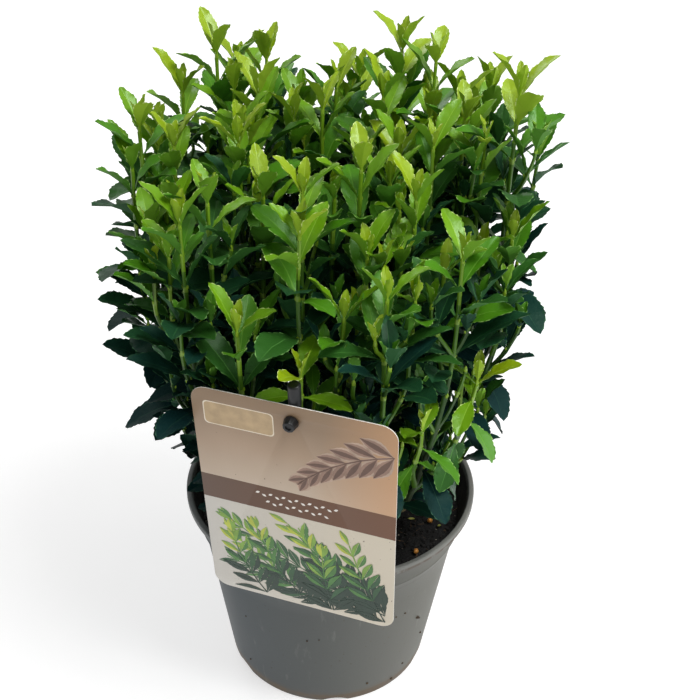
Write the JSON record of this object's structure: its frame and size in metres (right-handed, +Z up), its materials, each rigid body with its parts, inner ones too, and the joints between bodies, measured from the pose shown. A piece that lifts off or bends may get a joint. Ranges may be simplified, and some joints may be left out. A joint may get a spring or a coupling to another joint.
{
  "type": "potted japanese spindle shrub",
  "caption": "Upright evergreen shrub with glossy toothed leaves in a round nursery pot, with a blank picture card on a peg.",
  "frame": {"origin": "centre of the pot's flat underside", "axes": "+Z up the plant; -Y towards the side that the label card stands on; +X to the viewer's right"},
  "size_m": [0.2298, 0.2275, 0.387],
  "materials": {
    "pot": "moulded grey recycled polypropylene, slightly scuffed and dusty",
    "compost": "moist dark peat compost, rough",
    "card": "printed plastic card, satin",
    "peg": "black moulded plastic",
    "bark": "green-brown young bark",
    "leaf": "glossy leathery evergreen leaf, lime green when young"
  },
  "bodies": {
    "root": {"pot": "pot", "compost": "compost", "label_card": "card", "label_peg": "peg", "stem_right": "bark", "stem_back_left": "bark", "stem_front_left": "bark", "stem_heart_front": "bark", "stem_heart_right": "bark", "stem_heart_back_right": "bark", "stem_heart_back": "bark", "stem_heart_left": "bark", "bough_front": "bark", "bough_front_right": "bark", "bough_back_right": "bark", "bough_back": "bark", "bough_left_back": "bark", "bough_left": "bark", "foliage_front": "leaf", "foliage_front_right": "leaf", "foliage_right": "leaf", "foliage_back_right": "leaf", "foliage_back": "leaf", "foliage_back_left": "leaf", "foliage_left_back": "leaf", "foliage_left": "leaf", "foliage_front_left": "leaf", "foliage_heart_front": "leaf", "foliage_heart_right": "leaf", "foliage_heart_back_right": "leaf", "foliage_heart_back": "leaf", "foliage_heart_left": "leaf"}
  },
  "joints": []
}
